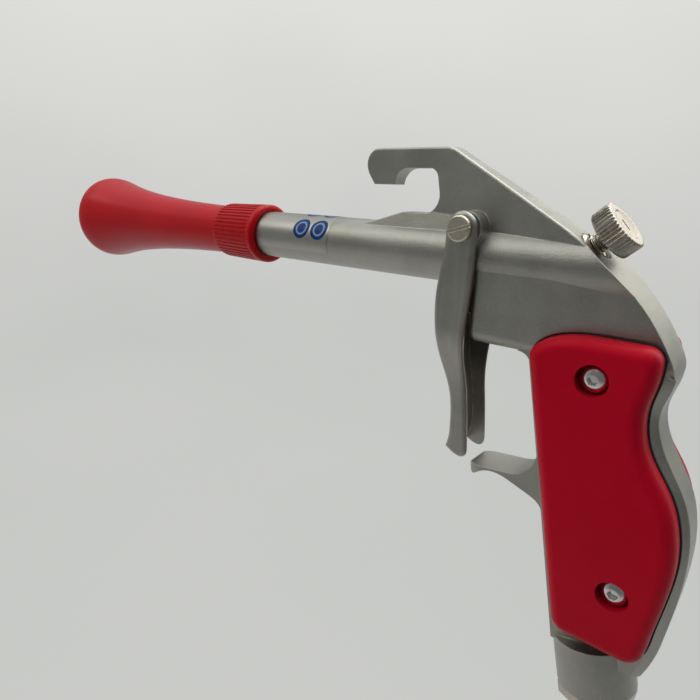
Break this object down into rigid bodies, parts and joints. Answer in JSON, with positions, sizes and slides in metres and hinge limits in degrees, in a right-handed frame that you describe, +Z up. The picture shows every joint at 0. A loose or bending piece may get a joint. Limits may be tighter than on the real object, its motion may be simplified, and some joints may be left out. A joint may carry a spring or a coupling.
{
  "type": "compressed air cleaning gun",
  "caption": "Hand-held compressed air gun with trigger, throttle knob, hanging hook, side grips and a flared nozzle with a whirling inner tube for blowing surfaces clean.",
  "frame": {"origin": "centre of the air inlet's mouth, at the foot of the handle", "axes": "+X from the muzzle towards the back of the hand, along the barrel; +Z up; +Y to the right side of the gun as held, with its middle plane at Y = 0"},
  "size_m": [0.2851, 0.0396, 0.1627],
  "materials": {
    "cast_aluminium": "bead-blasted, satin",
    "sheet_metal": "satin pressed sheet",
    "red_grip": "satin moulded, fine texture",
    "red_nozzle": "smooth moulded, slightly glossy",
    "nickel": "satin nickel plate",
    "bright_screw": "polished",
    "brass": "machined",
    "steel": "machined",
    "black_rubber": "matt",
    "clear_nylon": "drawn tube",
    "dark_plastic": "moulded"
  },
  "bodies": {
    "gun_body": {"gun_body": "cast_aluminium", "grip_left": "red_grip", "grip_right": "red_grip", "grip_gasket_left": "black_rubber", "grip_gasket_right": "black_rubber", "grip_screws": "bright_screw", "grip_sleeves": "brass", "pivot_screw": "bright_screw", "pivot_nut": "nickel", "pivot_bush": "brass", "valve_gland_nut": "brass", "valve_packing": "black_rubber", "valve_spacer": "brass", "valve_seat": "brass", "valve_spring": "steel", "throttle_collar": "nickel", "throttle_seal": "black_rubber", "nozzle_hub": "brass", "hub_gasket": "black_rubber", "nozzle_ring": "red_nozzle", "nozzle_cone": "red_nozzle", "bearing_outer_race": "steel", "bearing_clip": "steel", "inlet_bushing": "nickel", "inlet_washer": "black_rubber", "inlet_filter": "brass"},
    "trigger": {"trigger": "sheet_metal"},
    "valve": {"valve_stem": "steel", "valve_poppet": "brass", "poppet_seal": "black_rubber"},
    "throttle_slide": {"throttle_needle": "steel"},
    "throttle_knob": {"throttle_knob": "nickel"},
    "rotor": {"rotor": "brass", "bearing_inner_race": "steel", "spinner_tube": "clear_nylon", "tube_weight": "dark_plastic"},
    "ball_set": {"bearing_balls": "bright_screw", "bearing_cage": "dark_plastic"}
  },
  "joints": [
    {"name": "trigger_pull", "type": "hinge", "parent": "gun_body", "child": "trigger", "pos_m": [-0.0539, 0, 0.1378], "axis": [0, -1, 0], "range_deg": [0, 10], "stiffness_Nm_per_rad": 0.6, "springref_deg": -5.16},
    {"name": "valve_push", "type": "slide", "parent": "gun_body", "child": "valve", "axis": [1, 0, 0], "range_m": [0, 0.004], "deforming": ["valve_spring"]},
    {"name": "throttle_travel", "type": "slide", "parent": "gun_body", "child": "throttle_slide", "axis": [0.749, 0, 0.6626], "range_m": [-0.001, 0.002]},
    {"name": "throttle_turn", "type": "hinge", "parent": "throttle_slide", "child": "throttle_knob", "pos_m": [-0.0126, 0, 0.1412], "axis": [0.749, 0, 0.6626], "range_deg": [-361, 721]},
    {"name": "rotor_spin", "type": "hinge", "parent": "gun_body", "child": "rotor", "pos_m": [-0.161, 0, 0.129], "axis": [1, 0, 0], "continuous": true},
    {"name": "ball_orbit", "type": "hinge", "parent": "gun_body", "child": "ball_set", "pos_m": [-0.161, 0, 0.129], "axis": [1, 0, 0], "continuous": true}
  ],
  "couplings": [
    {"joint": "valve_push", "follows": "trigger_pull", "m_per_rad": 0.0225},
    {"joint": "throttle_turn", "follows": "throttle_travel", "rad_per_m": 6283.2},
    {"joint": "ball_orbit", "follows": "rotor_spin", "ratio": 0.4}
  ]
}
